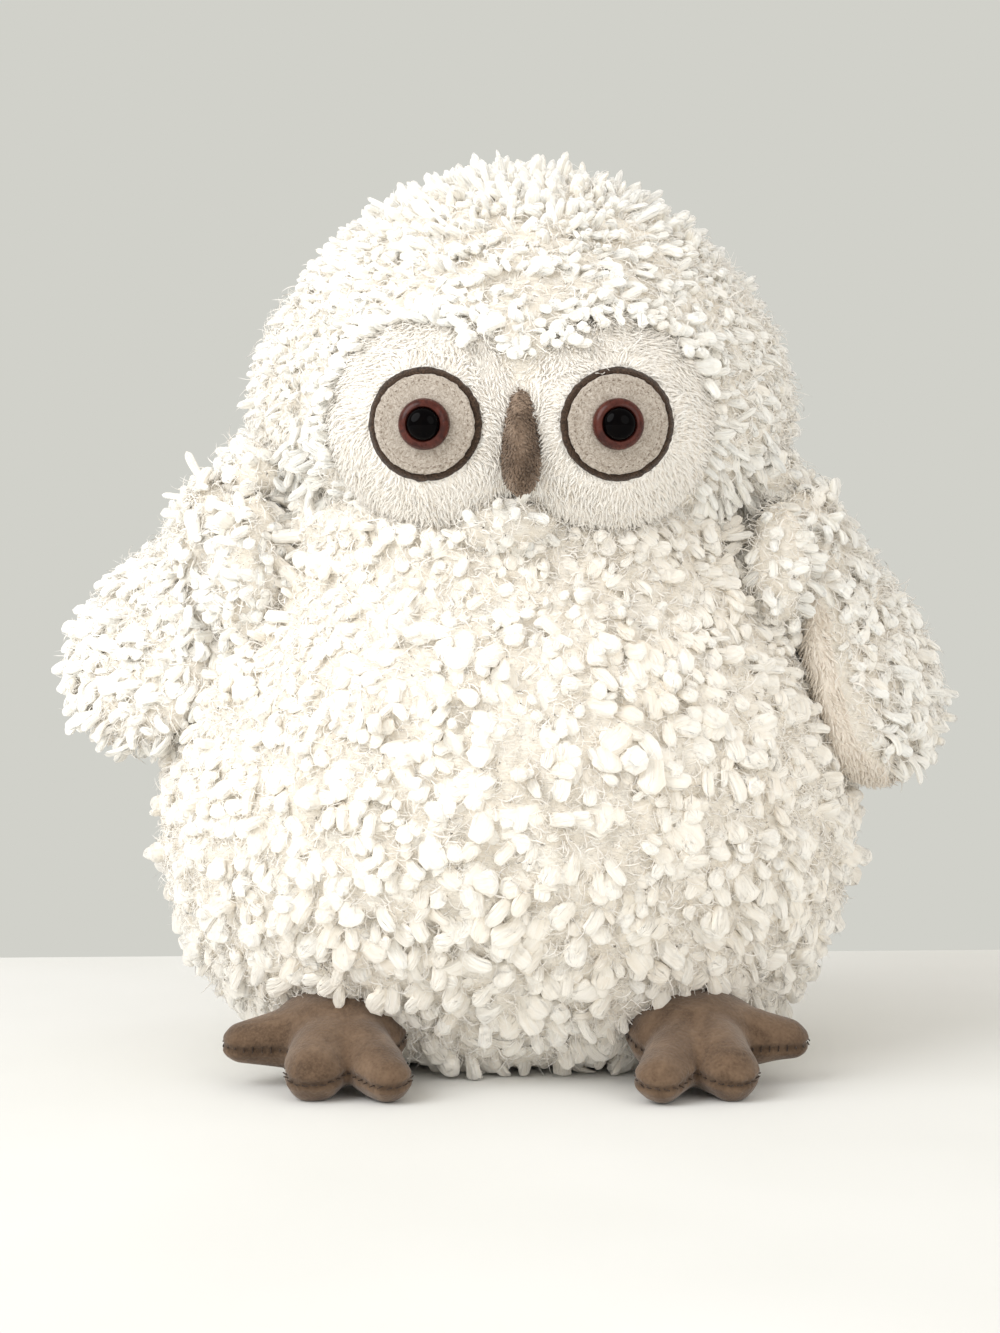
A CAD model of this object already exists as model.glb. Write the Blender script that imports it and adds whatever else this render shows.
"""A stuffed owl over its solids: curly pile, cushioned face, felt and plastic eyes, soft feet.

Lengths are in millimetres until a mesh is made, in the solids' frame: +Z up, the owl faces -Y.
"""

import math

import bmesh
import bpy
import numpy as np
from mathutils import Matrix
from mathutils.kdtree import KDTree


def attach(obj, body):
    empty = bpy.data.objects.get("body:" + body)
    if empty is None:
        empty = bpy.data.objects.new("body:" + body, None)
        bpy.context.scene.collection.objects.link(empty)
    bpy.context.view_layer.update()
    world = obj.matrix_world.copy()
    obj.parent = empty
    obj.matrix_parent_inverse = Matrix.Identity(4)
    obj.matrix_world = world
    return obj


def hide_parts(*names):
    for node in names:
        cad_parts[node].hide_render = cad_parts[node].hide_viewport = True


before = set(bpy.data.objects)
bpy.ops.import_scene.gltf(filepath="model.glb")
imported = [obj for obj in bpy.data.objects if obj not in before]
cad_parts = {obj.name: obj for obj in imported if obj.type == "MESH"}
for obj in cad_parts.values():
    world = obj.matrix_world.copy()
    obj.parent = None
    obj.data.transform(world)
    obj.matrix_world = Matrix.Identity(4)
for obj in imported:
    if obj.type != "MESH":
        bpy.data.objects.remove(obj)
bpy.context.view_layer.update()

rng = np.random.default_rng(7)
down = np.array([0.0, 0.0, -1.0])

SIDES = {"left": 1, "right": -1}
CLEARANCE = 0.3
FELT = 1.2

# Body
BASE_HALF_WIDTH = 50
BELLY_HALF_WIDTH = 110
BELLY_HEIGHT = 74
BELLY_ROUND = 42
NECK_HALF_WIDTH = 81
NECK_HEIGHT = 165
NECK_ROUND = 22
BODY_DOME = 26
BELLY_DEPTH_SHARE = 0.83
BASE_DEPTH_SHARE = 0.72

# Head, whose middle is HEAD_AT
HEAD_AT = (4.5, -2, 205)
HEAD_TURN = -0.5
HEAD_HALF_WIDTH = 86
HEAD_RISE = 75
HEAD_DROP = 60
HEAD_DEPTH_SHARE = 0.88
CROWN_TAPER = 0.08

# Face discs
DISC_RADII = (35, 20, 34)
DISC_AT = (23, -56, -5)
DISC_TURN = 12

# Eyes
EYE_OFFSET = 1.4
EYE_DROP = 3.5
RIM_RADIUS = 16.5
FELT_DISC_RADIUS = 14.4
IRIS_RADIUS = 7.5
IRIS_EDGE = 1.2
IRIS_HEIGHT = 3.8
PUPIL_RADIUS = 4.8
PUPIL_RECESS = 1
PUPIL_HEIGHT = 3.2

# Beak
BEAK_LENGTH = 31
BEAK_HALF_WIDTH = 5.7
BEAK_REACH = 9.5
BEAK_TOP = (0, -71, 2)
BEAK_TILT = 7
BEAK_WIDEST_SHARE = 0.6
BEAK_RIDGE_POWER = 0.7
BEAK_BEND = 1.1
BEAK_BACK_SHARE = 0.6

# Wings
WING_X = 91.667
WING_HEIGHT = 172
WING_Y = -8
WING_ROOT = 12.5
WING_THICKNESS = 12
WING_ROOT_HALF_CHORD = 24
WING_HALF_CHORD = 34
WING_TIP = 24
WING_LENGTH = {"left": 90, "right": 80}
WING_LEAN = {"left": 22, "right": 28}
WING_BOW = {"left": 5, "right": 0}
WING_TWIST = {"left": 38, "right": 46}
WING_TWIST_END = 0.5
WING_FLANK_BEND = 0.6

# Feet
FOOT_X = {"left": 56, "right": 51}
FOOT_Y = -57
FOOT_Z = 15
FOOT_SLOPE = 15
FOOT_ROLL = 4
FOOT_YAW = {"left": 24, "right": 16}
PALM_RADII = (21, 19, 13.5)
# Each toe's angle from straight ahead, its length and its radius at root and tip
TOES = ((-45, 34, 12, 7.2), (-5, 27, 13, 8.6), (62, 29, 12.5, 6))

# Pile: how deep its roots lie, what share of them draw the others near and how near, how soft
# its shading is and how many places are tried for each root
BACKING_INSET = 6.5
WING_INSET = 4.2
MATTED_INSET = 2.6
BUNCH_SHARE = 0.3
BUNCH_PULL = 0.36
SOFT = 0.82
TRIES = 4.5

# Each kind of pile: the spacing of its roots, then its length, thickness and lean, each as middle,
# spread, least and most. A share before two thicknesses is that of the thicker locks.
PILES = {
    "body": (3.3, (10.4, 1.9, 7, 15), (0.4, (5.9, 0.9, 4.5, 8), (4.1, 0.7, 2.6, 5.6)),
             (98, 46, 15, 230)),
    "wing": (2.65, (8.2, 1.5, 5.5, 12), (0.35, (3.9, 0.6, 3, 5.4), (2.8, 0.5, 1.8, 3.9)),
             (112, 42, 25, 230)),
    "head": (2.35, (9.4, 1.7, 6, 13.5), (2.7, 0.65, 1.6, 4.4), (80, 34, 15, 180)),
    "mound": (2.2, (9.4, 1.7, 6.5, 13.5), (3.5, 0.6, 2.2, 5), (80, 36, 10, 190)),
    "face": (0.78, (3.1, 0.6, 1.8, 4.6), (0.62, 0.15, 0.3, 1.0), (66, 12, 40, 90)),
    "beak": (0.75, (1.3, 0.3, 0.7, 2.0), (0.75, 0.15, 0.4, 1.1), (46, 16, 10, 85)),
    "lining": (1.05, (3.2, 0.6, 1.8, 4.8), (0.72, 0.15, 0.4, 1.1), (72, 10, 40, 90)),
}
PILES["chest"] = (2.65, *PILES["body"][1:])


# Numbers and meshes

def linear(red, green, blue):
    """A colour's linear value from its eight-bit one."""
    shares = np.array([red, green, blue]) / 255
    bent = ((shares + 0.055) / 1.055) ** 2.4
    return (*np.where(shares <= 0.04045, shares / 12.92, bent).tolist(), 1.0)


def lerp(low, high, share):
    return low + (high - low) * share


def smooth(value, low, high):
    share = np.clip((value - low) / (high - low), 0, 1)
    return share * share * (3 - 2 * share)


def unit(vectors):
    return vectors / np.maximum(np.linalg.norm(vectors, axis=-1, keepdims=True), 1e-9)


def turn(axis, degrees):
    return np.array(Matrix.Rotation(math.radians(degrees), 3, axis))


def ellipse(middle, radii, low, high, steps):
    """Points of an arc, from one angle in degrees to another."""
    angles = np.radians(np.linspace(low, high, steps + 1))
    return np.stack([middle[0] + radii[0] * np.cos(angles),
                     middle[1] + radii[1] * np.sin(angles)], 1)


def bezier(points, steps):
    share = np.linspace(0, 1, steps + 1)[:, None]
    first, second, third, last = (np.array(p, float) for p in points)
    rest = 1 - share
    return (rest ** 3 * first + 3 * rest ** 2 * share * second
            + 3 * rest * share ** 2 * third + share ** 3 * last)


def lengths_along(path):
    return np.concatenate([[0], np.cumsum(np.linalg.norm(np.diff(path, axis=0), axis=1))])


def traced(places, lengths, values):
    """Values known at a path's points, at other places along it."""
    return np.stack([np.interp(places, lengths, column) for column in values.T], 1)


def evenly(profile, steps):
    """A profile again, in equal steps."""
    lengths = lengths_along(profile)
    return traced(np.linspace(0, lengths[-1], steps + 1), lengths, profile)


def turned(profile, segments):
    """Rows of points of a form turned about Z: rows by segments by 3."""
    angles = np.linspace(0, 2 * np.pi, segments, endpoint=False)
    around = np.stack([np.cos(angles), np.sin(angles)], 1)
    rows = np.empty((len(profile), segments, 3))
    rows[..., :2] = profile[:, None, :1] * around[None]
    rows[..., 2] = profile[:, 1:2]
    return rows


def ridge_noise(points, size, seed):
    """Smooth noise from -1 to 1: a few sine waves in seeded directions."""
    rng = np.random.default_rng(seed)
    ways = unit(rng.normal(size=(7, 3)))
    reach = rng.uniform(0.6, 1.6, 7) * 2 * np.pi / size
    phase = rng.uniform(0, 2 * np.pi, 7)
    waves = np.sin(points @ (ways * reach[:, None]).T + phase)
    return waves.sum(-1) / 3.2


def read_vectors(items, key):
    numbers = np.empty(len(items) * 3, np.float32)
    items.foreach_get(key, numbers)
    return numbers.reshape(-1, 3)


def write_values(mesh, name, numbers):
    attribute = mesh.attributes.new(name, "FLOAT", "POINT")
    attribute.data.foreach_set("value", np.asarray(numbers, np.float32))


def shown(name, data):
    """An object of the scene from a mesh, a light or a camera."""
    piece = bpy.data.objects.new(name, data)
    bpy.context.scene.collection.objects.link(piece)
    return piece


def soften(mesh, towards, share):
    """Shading normals turned towards those of the form beneath, as fluff scatters light."""
    own = read_vectors(mesh.vertex_normals, "vector")
    facing = smooth(np.sum(own * towards, 1), -0.35, 0.45)
    eased = unit(lerp(own, towards, share * facing[:, None]))
    mesh.normals_split_custom_set_from_vertices(eased.tolist())


def mesh_piece(name, points, faces, material, maps=None, values=None):
    """An object from points in millimetres and faces with one number of corners each."""
    mesh = bpy.data.meshes.new(name)
    groups = [np.asarray(f, np.int32) for f in faces if len(f)]
    corners = np.concatenate([f.ravel() for f in groups])
    totals = np.concatenate([np.full(len(f), f.shape[1], np.int32) for f in groups])
    starts = np.concatenate([[0], np.cumsum(totals)[:-1]]).astype(np.int32)
    mesh.vertices.add(len(points))
    mesh.vertices.foreach_set("co", (np.asarray(points) * 0.001).astype(np.float32).ravel())
    mesh.loops.add(len(corners))
    mesh.loops.foreach_set("vertex_index", corners)
    mesh.polygons.add(len(totals))
    mesh.polygons.foreach_set("loop_start", starts)
    mesh.polygons.foreach_set("use_smooth", np.ones(len(totals), bool))
    for map_name, places in (maps or {}).items():
        layer = mesh.uv_layers.new(name=map_name)
        layer.data.foreach_set("uv", np.asarray(places, np.float32).ravel())
    for value_name, numbers in (values or {}).items():
        write_values(mesh, value_name, numbers)
    mesh.update(calc_edges=True)
    mesh.validate()
    mesh.materials.append(material)
    return shown(name, mesh)


def grid_faces(rows, columns, first=0):
    """Quads of a grid whose rows close on themselves."""
    row, column = np.meshgrid(np.arange(rows - 1), np.arange(columns), indexing="ij")
    after = (column + 1) % columns
    quads = np.stack([row * columns + column, row * columns + after,
                      (row + 1) * columns + after, (row + 1) * columns + column], -1)
    return quads.reshape(-1, 4) + first


def closed_form(rows):
    """Points and faces of a turned form, with a pole at each end in place of its end rows."""
    inner = rows[1:-1]
    count, segments = inner.shape[:2]
    points = np.concatenate([inner.reshape(-1, 3), rows[0].mean(0)[None], rows[-1].mean(0)[None]])
    ring = np.arange(segments)
    after = (ring + 1) % segments
    low, high = count * segments, count * segments + 1
    bottom = np.stack([np.full(segments, low), after, ring], 1)
    last = (count - 1) * segments
    top = np.stack([np.full(segments, high), last + ring, last + after], 1)
    return points, [grid_faces(count, segments), bottom, top]


def finish_piece(piece, body, slot, *nodes, fill=None):
    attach(piece, body)
    if nodes:
        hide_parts(*nodes)
    return piece


# Materials

class Nodes:
    """A node tree and short ways to add to it."""

    def __init__(self, tree):
        self.tree = tree

    def add(self, kind, *inputs, **settings):
        node = self.tree.nodes.new(kind)
        for key, value in settings.items():
            setattr(node, key, value)
        for socket, value in zip(node.inputs, inputs):
            self.join(socket, value)
        return node

    def join(self, socket, value):
        """Links a socket or sets it. A tuple of three numbers is an eight-bit colour."""
        if isinstance(value, bpy.types.NodeSocket):
            self.tree.links.new(value, socket)
        else:
            is_colour = isinstance(value, tuple) and len(value) == 3
            socket.default_value = linear(*value) if is_colour else value


class Look(Nodes):
    """A material's nodes: a Principled surface with what drives it."""

    def __init__(self, name, roughness, sheen=0.0, sheen_roughness=0.5, coat=0.0, specular=0.3):
        self.material = bpy.data.materials.new(name)
        self.material.use_nodes = True
        super().__init__(self.material.node_tree)
        self.surface = self.tree.nodes["Principled BSDF"]
        self.set(self.surface, Roughness=roughness, Sheen_Weight=sheen,
                 Sheen_Roughness=sheen_roughness, Coat_Weight=coat, Specular_IOR_Level=specular)
        self.place = self.add("ShaderNodeTexCoord").outputs["Object"]

    def set(self, node, **values):
        for key, value in values.items():
            self.join(node.inputs[key.replace("_", " ")], value)
        return node

    def stretched(self, scale, place=None):
        """Coordinates with each axis scaled."""
        node = self.add("ShaderNodeMapping", self.place if place is None else place)
        node.inputs["Scale"].default_value = scale
        return node.outputs[0]

    def noise(self, scale, detail=3.0, roughness=0.55, distortion=0.0, place=None):
        node = self.add("ShaderNodeTexNoise", self.place if place is None else place)
        self.set(node, Scale=scale, Detail=detail, Roughness=roughness, Distortion=distortion)
        return node.outputs["Fac"]

    def cells(self, scale):
        node = self.add("ShaderNodeTexVoronoi", self.place, feature="SMOOTH_F1")
        return self.set(node, Scale=scale).outputs["Distance"]

    def span(self, value, low, high, to_low=0.0, to_high=1.0):
        return self.add("ShaderNodeMapRange", value, low, high, to_low, to_high).outputs[0]

    def ramp(self, value, *stops):
        node = self.add("ShaderNodeValToRGB", value)
        elements = node.color_ramp.elements
        while len(elements) < len(stops):
            elements.new(0.5)
        for element, (position, colour) in zip(elements, stops):
            element.position = position
            element.color = linear(*colour)
        return node.outputs["Color"]

    def mix(self, share, first, second, kind="MIX"):
        node = self.add("ShaderNodeMix", share, data_type="RGBA", blend_type=kind)
        self.join(node.inputs[6], first)
        self.join(node.inputs[7], second)
        return node.outputs[2]

    def value(self, name):
        return self.add("ShaderNodeAttribute", attribute_name=name).outputs["Fac"]

    def finish(self, colour, rough=None, bumps=()):
        """The finished material. Each bump has a height, its millimetres and a strength."""
        self.join(self.surface.inputs["Base Color"], colour)
        if rough is not None:
            self.join(self.surface.inputs["Roughness"], rough)
        normal = self.surface.inputs["Normal"]
        for height, millimetres, strength in bumps:
            node = self.set(self.add("ShaderNodeBump"), Strength=strength,
                            Distance=millimetres * 0.001, Height=height)
            if normal.is_linked:
                self.join(node.inputs["Normal"], normal.links[0].from_socket)
            self.join(normal, node.outputs[0])
        return self.material


def lock_look(name, root, low, high, tip):
    """Yarn locks: warm at the root, near white at the tip, fine fibres along the lock."""
    look = Look(name, 0.9, sheen=0.3, specular=0.08)
    body = look.ramp(look.value("along"), (0.0, root), (0.35, low), (0.7, high), (1.0, tip))
    tint = look.ramp(look.value("tint"), (0.0, (249, 243, 233)), (0.5, (254, 252, 247)),
                     (1.0, (255, 255, 253)))
    colour = look.mix(0.75, body, tint, "MULTIPLY")
    lock_map = look.add("ShaderNodeUVMap", uv_map="fibre").outputs[0]
    fibre = look.noise(1.0, 2.0, 0.5, 0.6, look.stretched((13, 2.2, 1), lock_map))
    fine = look.noise(2600, 2.0, 0.6)
    shade = look.span(fibre, 0.3, 0.62, 0.86, 1.0)
    warm_shade = look.add("ShaderNodeCombineColor")
    for channel, least in zip(("Red", "Green", "Blue"), (0.925, 0.895, 0.85)):
        look.join(warm_shade.inputs[channel], look.span(shade, 0.86, 1.0, least, 1.0))
    colour = look.mix(0.8, colour, warm_shade.outputs[0], "MULTIPLY")
    return look.finish(colour, bumps=((fibre, 0.65, 0.8), (fine, 0.12, 0.7)))


def strand_look():
    """Loose fine hairs among the locks."""
    look = Look("strand_hair", 0.85, sheen=0.3, specular=0.08)
    body = look.ramp(look.value("along"), (0.0, (249, 243, 233)), (0.5, (253, 249, 243)),
                     (1.0, (255, 253, 250)))
    colour = look.mix(look.span(look.value("tint"), 0, 1, 0.0, 0.3), body, (246, 238, 225))
    return look.finish(colour, bumps=((look.noise(1800, 2.0), 0.05, 0.5),))


def backing_look():
    """The knitted backing that the locks are sewn into, matted with their roots."""
    look = Look("pile_backing", 0.95, sheen=0.2, specular=0.1)
    matted = look.noise(160, 4.0, 0.6, 1.2)
    tufts = look.cells(330)
    threads = look.noise(1.0, 3.0, 0.65, 2.6, look.stretched((420, 420, 1500)))
    colour = look.ramp(matted, (0.3, (247, 238, 223)), (0.55, (251, 245, 234)),
                       (0.75, (254, 251, 244)))
    colour = look.mix(look.span(threads, 0.5, 0.66, 0.0, 0.6), colour, (253, 250, 244))
    colour = look.mix(look.span(tufts, 0.1, 0.6, 0.0, 0.3), colour, (245, 234, 218))
    return look.finish(colour, bumps=((tufts, 0.8, 0.8), (threads, 0.5, 0.9),
                                      (look.noise(900, 3.0, 0.6), 0.3, 0.7)))


def short_pile_look(name, light, middle, dark):
    """Short brushed pile: soft strokes that lie along the fabric."""
    look = Look(name, 0.92, sheen=0.35, sheen_roughness=0.45, specular=0.15)
    strokes = look.noise(1.0, 3.0, 0.6, 0.9, look.stretched((900, 900, 260)))
    patches = look.noise(75, 3.0, 0.55, 0.5)
    pores = look.noise(1500, 2.0, 0.6)
    colour = look.ramp(strokes, (0.34, dark), (0.5, middle), (0.66, light))
    colour = look.mix(look.span(patches, 0.38, 0.62, 0.0, 0.55), colour, middle)
    colour = look.mix(look.span(look.value("along"), 0.0, 1.0, 0.3, 0.0), colour, dark)
    colour = look.mix(look.span(pores, 0.62, 0.72, 0.0, 0.3), colour, dark)
    return look.finish(colour, look.span(patches, 0.3, 0.7, 0.86, 0.98),
                       ((strokes, 0.5, 0.7), (pores, 0.15, 0.5)))


def felt_look(name, light, middle, dark, fleck):
    """Pressed felt: crossed fibres, flecks and a fuzzy bump."""
    look = Look(name, 0.97, sheen=0.3, specular=0.1)
    fibres = look.noise(700, 5.0, 0.7, 2.2)
    crossed = look.noise(1.0, 3.0, 0.6, 1.5, look.stretched((500, 1700, 1700)))
    flecks = look.noise(1300, 2.0, 0.55, 1.0)
    colour = look.ramp(fibres, (0.36, dark), (0.5, middle), (0.64, light))
    colour = look.mix(look.span(crossed, 0.55, 0.7, 0.0, 0.55), colour, light)
    colour = look.mix(look.span(flecks, 0.62, 0.7, 0.0, 0.65), colour, fleck)
    return look.finish(colour, look.span(fibres, 0.3, 0.7, 0.9, 1.0),
                       ((fibres, 0.35, 0.8), (crossed, 0.2, 0.6)))


def suede_look(name, light, middle, dark, weave=0.0):
    """Brushed suede cloth: mottled nap, fine grain, darker in its creases."""
    look = Look(name, 0.95, sheen=0.25, specular=0.12)
    nap = look.noise(95, 4.0, 0.6, 0.6)
    grain = look.noise(1250, 3.0, 0.65)
    pebbles = look.cells(950)
    colour = look.ramp(nap, (0.32, dark), (0.5, middle), (0.7, light))
    colour = look.mix(look.span(grain, 0.4, 0.65, 0.0, 0.42), colour, light)
    colour = look.mix(look.span(pebbles, 0.1, 0.5, 0.32, 0.0), colour, dark)
    colour = look.mix(look.span(look.value("crease"), 0, 1, 0.0, 0.75), colour, (62, 47, 35))
    bumps = [(grain, 0.25, 0.7), (pebbles, 0.22, 0.6)]
    if weave:
        thread = look.noise(1.0, 2.0, 0.5, 0.3, look.stretched((2600, 700, 700)))
        bumps.append((thread, 0.3, weave))
    return look.finish(colour, look.span(grain, 0.3, 0.7, 0.88, 1.0), bumps)


def thread_look(name, dark, light):
    """Twisted sewing thread."""
    look = Look(name, 0.75, sheen=0.15, specular=0.25)
    twist = look.noise(1500, 3.0, 0.6, 0.8)
    return look.finish(look.ramp(twist, (0.35, dark), (0.65, light)), bumps=((twist, 0.12, 0.8),))


def plastic_look(name, dark, light, roughness, coat, specular=0.5):
    """Moulded plastic: faint swirls of its pigment under a clear gloss."""
    look = Look(name, roughness, coat=coat, specular=specular)
    look.set(look.surface, Coat_Roughness=0.03)
    swirl = look.noise(260, 3.0, 0.5, 1.5)
    rough = look.span(look.noise(900, 2.0), 0.3, 0.7, roughness * 0.7, roughness * 1.4)
    return look.finish(look.ramp(swirl, (0.35, dark), (0.65, light)), rough,
                       ((look.noise(420, 2.0), 0.02, 0.35),))


LOCK = lock_look("lock_yarn", (246, 239, 227), (251, 247, 240), (253, 250, 245), (254, 252, 248))
FINE_LOCK = lock_look("lock_yarn_fine", (250, 246, 240), (254, 252, 249), (254, 254, 252),
                      (255, 255, 254))
STRAND = strand_look()
BACKING = backing_look()
FACE = short_pile_look("face_pile", (255, 254, 251), (254, 250, 244), (246, 238, 226))
LINING = short_pile_look("lining_pile", (248, 241, 231), (240, 231, 219), (221, 208, 192))
GREY_FELT = felt_look("grey_felt", (204, 195, 184), (177, 166, 154), (143, 130, 116), (104, 92, 80))
BROWN_FELT = felt_look("brown_felt", (88, 69, 55), (62, 48, 38), (36, 27, 20), (36, 27, 20))
SUEDE = suede_look("foot_suede", (124, 102, 82), (101, 81, 64), (78, 61, 47))
BEAK = suede_look("beak_suede", (158, 137, 119), (114, 95, 79), (56, 41, 31), weave=1.0)
THREAD = thread_look("seam_thread", (38, 27, 20), (74, 57, 44))
FELT_THREAD = thread_look("felt_thread", (104, 90, 78), (146, 132, 118))
IRIS = plastic_look("eye_iris", (56, 22, 17), (84, 38, 29), 0.3, 0.12, 0.2)
PUPIL = plastic_look("eye_pupil", (2, 1, 2), (5, 3, 3), 0.06, 0.0, 0.045)
WASHER = plastic_look("washer_plastic", (214, 211, 204), (234, 232, 226), 0.4, 0.1)


# The forms, as rows of points

def body_profile(inset, steps):
    wide, neck = BELLY_HALF_WIDTH - inset, NECK_HALF_WIDTH - inset
    flank = ellipse((BASE_HALF_WIDTH, BELLY_HEIGHT),
                    (wide - BASE_HALF_WIDTH, BELLY_HEIGHT - inset), -90, 0, 60)
    shoulder = bezier([(wide, BELLY_HEIGHT), (wide, BELLY_HEIGHT + BELLY_ROUND),
                       (neck, NECK_HEIGHT - NECK_ROUND), (neck, NECK_HEIGHT)], 60)
    dome = ellipse((0, NECK_HEIGHT), (neck, BODY_DOME - inset), 0, 90, 60)
    return evenly(np.concatenate([[(0, inset)], flank, shoulder[1:], dome[1:]]), steps)


def body_rows(inset, steps=130, segments=180):
    rows = turned(body_profile(inset, steps), segments)
    rows[..., 1] *= lerp(BASE_DEPTH_SHARE, BELLY_DEPTH_SHARE, smooth(rows[..., 2], 0, BELLY_HEIGHT))
    return rows


def place_head(points):
    return points @ turn("Z", HEAD_TURN).T + np.array(HEAD_AT)


def to_head(points):
    return (points - np.array(HEAD_AT)) @ turn("Z", HEAD_TURN)


def head_rows(inset, steps=110, segments=160):
    wide = HEAD_HALF_WIDTH - inset
    lower = ellipse((0, 0), (wide, HEAD_DROP - inset), -90, 0, 60)
    upper = ellipse((0, 0), (wide, HEAD_RISE - inset), 0, 90, 60)
    rows = turned(evenly(np.concatenate([lower, upper[1:]]), steps), segments)
    narrowing = 1 - CROWN_TAPER * smooth(rows[..., 2], 0, HEAD_RISE)
    rows[..., 0] *= narrowing
    rows[..., 1] *= narrowing * HEAD_DEPTH_SHARE
    return place_head(rows)


def disc_frame(side):
    """The turn and the middle of a face disc, in the head's frame."""
    return turn("Z", side * DISC_TURN), np.array([side * DISC_AT[0], DISC_AT[1], DISC_AT[2]])


def disc_depth(points, side, inset=0.0):
    """How far points lie from a disc's middle, as a share of its radii. Below 1 is inside it."""
    matrix, middle = disc_frame(side)
    local = (to_head(points) - middle) @ matrix
    return np.linalg.norm(local / (np.array(DISC_RADII) - inset), axis=-1)


def wing_matrix(side_name):
    side = SIDES[side_name]
    return turn("Y", -side * WING_LEAN[side_name]), np.array([side * WING_X, WING_Y, WING_HEIGHT])


def wing_bow(side_name, z):
    share = np.clip(-z / WING_LENGTH[side_name], 0, 1)
    return SIDES[side_name] * WING_BOW[side_name] * np.sin(np.pi * share)


def wing_angle(side_name, z):
    twist = -SIDES[side_name] * math.radians(WING_TWIST[side_name])
    return twist * smooth(-z / WING_LENGTH[side_name], 0, WING_TWIST_END)


def wing_rows(side_name, inset, steps=60, segments=96):
    """Rows of one wing, twisted and bowed as it droops."""
    length = WING_LENGTH[side_name]
    widest = length - WING_TIP
    thin, thick = WING_THICKNESS - inset, WING_ROOT - inset
    tip = ellipse((0, -widest), (thin, WING_TIP - inset), -90, 0, 40)
    flank = bezier([(thin, -widest), (thin, -widest * WING_FLANK_BEND),
                    (thick, -widest * (1 - WING_FLANK_BEND)), (thick, 0)], 40)
    root = ellipse((0, 0), (thick, thick), 0, 90, 30)
    rows = turned(evenly(np.concatenate([tip, flank[1:], root[1:]]), steps), segments)
    along = smooth(-rows[..., 2], 0, widest)
    chord = lerp(WING_ROOT_HALF_CHORD, WING_HALF_CHORD, along) - inset
    rows[..., 1] *= chord / (lerp(WING_ROOT, WING_THICKNESS, along) - inset)
    angle = wing_angle(side_name, rows[..., 2])
    x, y = rows[..., 0].copy(), rows[..., 1].copy()
    rows[..., 0] = x * np.cos(angle) - y * np.sin(angle) + wing_bow(side_name, rows[..., 2])
    rows[..., 1] = x * np.sin(angle) + y * np.cos(angle)
    matrix, middle = wing_matrix(side_name)
    return rows @ matrix.T + middle


# Curly pile

def scattered(rows, spacing, keep=None, draws=rng):
    """Points strewn over rows no closer than the spacing, with their normals."""
    a, b = rows[:-1], np.roll(rows, -1, 1)[:-1]
    c, d = np.roll(rows, -1, 1)[1:], rows[1:]
    areas = (np.linalg.norm(np.cross(b - a, d - a), axis=-1)
             + np.linalg.norm(np.cross(b - c, d - c), axis=-1)) / 2
    running = np.cumsum(areas.ravel())
    tries = int(areas.sum() / spacing ** 2 * TRIES)
    cells = np.searchsorted(running, draws.uniform(0, running[-1], tries))
    row, column = np.unravel_index(np.minimum(cells, len(running) - 1), areas.shape)
    a, b, c, d = (corner[row, column] for corner in (a, b, c, d))
    s, t = draws.uniform(size=(2, tries, 1))
    points = lerp(lerp(a, b, t), lerp(d, c, t), s)
    normals = unit(np.cross(b - a, d - a) + np.cross(c - d, c - b))
    picked = np.ones(tries, bool) if keep is None else keep(points, normals)
    taken, chosen = {}, []
    for index in np.flatnonzero(picked):
        x, y, z = points[index]
        i, j, k = int(x // spacing), int(y // spacing), int(z // spacing)
        near = (taken.get((i + di, j + dj, k + dk))
                for di in (-1, 0, 1) for dj in (-1, 0, 1) for dk in (-1, 0, 1))
        if all(p is None or (p[0] - x) ** 2 + (p[1] - y) ** 2 + (p[2] - z) ** 2 > spacing ** 2
               for p in near):
            taken[i, j, k] = (x, y, z)
            chosen.append(index)
    return points[chosen], normals[chosen]


def nearest(middles, points):
    """The number of the middle nearest to each point, and how far off it is."""
    tree = KDTree(len(middles))
    for number, middle in enumerate(middles):
        tree.insert(middle, number)
    tree.balance()
    found = [tree.find(point) for point in points]
    return np.array([f[1] for f in found]), np.array([f[2] for f in found])


def bunched(rows, spacing, keep):
    """Strewn roots drawn towards the nearest of some of them, their normals and their bunches."""
    roots, normals = scattered(rows, spacing, keep)
    middles = roots[rng.permutation(len(roots))[:max(int(len(roots) * BUNCH_SHARE), 1)]]
    bunch, _ = nearest(middles, roots)
    moved = (middles[bunch] - roots) * BUNCH_PULL
    moved -= normals * np.sum(moved * normals, 1, keepdims=True)
    return roots + moved, normals, bunch


def flowing(normals, way):
    """The part of a direction that lies along each surface."""
    lying = way - normals * np.sum(way * normals, -1, keepdims=True)
    short = np.linalg.norm(lying, axis=-1, keepdims=True) < 0.15
    return unit(np.where(short, np.cross(normals, [0.3, 1.0, 0.0]), lying))


# Where along a lock its rings lie, and how thick each is
PROFILES = {
    "lobe": ([0, 0.12, 0.28, 0.44, 0.6, 0.74, 0.86, 0.95, 1.0],
             [0.7, 0.78, 0.88, 0.97, 1.0, 1.0, 0.91, 0.66, 0]),
    "strand": ([0, 0.2, 0.4, 0.6, 0.8, 1.0], [0.9, 1.0, 0.9, 0.75, 0.5, 0]),
    "tuft": ([0, 0.35, 0.7, 1.0], [1.0, 0.9, 0.6, 0]),
    "stitch": ([0, 0.12, 0.5, 0.88, 1.0], [0.4, 0.9, 1.0, 0.9, 0]),
}
FINE_STEPS = 32
MAP_MARGIN = 0.08
# How unevenly locks bend, wander (degrees), twist, swell and flatten, and the spread of their tint
BEND_POWER = (0.7, 1.3)
WIGGLE = 14
TWIST = 2.2
LUMPS = 0.075
FLATNESS = (0.74, 1.0)
TINT = (0.55, 0.22)


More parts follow.
